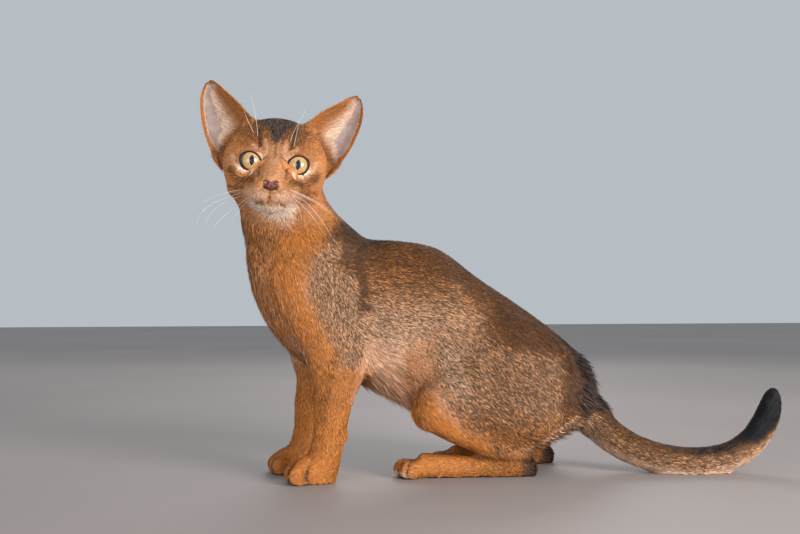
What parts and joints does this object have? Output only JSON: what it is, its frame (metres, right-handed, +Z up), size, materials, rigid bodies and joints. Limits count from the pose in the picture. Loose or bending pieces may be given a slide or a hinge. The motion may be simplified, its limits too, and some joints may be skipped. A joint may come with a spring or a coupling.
{
  "type": "cat",
  "caption": "Young shorthaired cat with a ticked ruddy coat, sitting half upright with its head turned to its left; a still life-size animal model.",
  "frame": {"origin": "centre of the bounding box at its bottom, on the floor plane", "axes": "+X points from the head to the tail along the body, so the cat faces -X; its left side is at -Y; +Z is up"},
  "size_m": [0.4258, 0.1162, 0.2837],
  "materials": {
    "ruddy_coat": "short close fur, warm orange brown",
    "ticked_coat": "short close fur, each hair banded apricot and dark brown",
    "black_coat": "short close black fur",
    "ear_skin": "thin pinkish skin with fine pale hairs",
    "eye": "clear wet cornea over an amber iris",
    "nose_leather": "damp brick red skin",
    "whisker": "smooth white hair"
  },
  "bodies": {
    "root": {"head": "ruddy_coat", "neck": "ruddy_coat", "trunk": "ticked_coat", "shoulder_left": "ruddy_coat", "shoulder_right": "ruddy_coat", "foreleg_left": "ruddy_coat", "foreleg_right": "ruddy_coat", "forepaw_left": "ruddy_coat", "forepaw_right": "ruddy_coat", "thigh_left": "ticked_coat", "thigh_right": "ticked_coat", "hind_foot_left": "ruddy_coat", "hind_foot_right": "ruddy_coat", "tail_base": "ticked_coat", "tail_middle": "ticked_coat", "tail_tip": "black_coat", "ear_left": "ear_skin", "ear_right": "ear_skin", "eye_left": "eye", "eye_right": "eye", "nose": "nose_leather"}
  },
  "joints": []
}
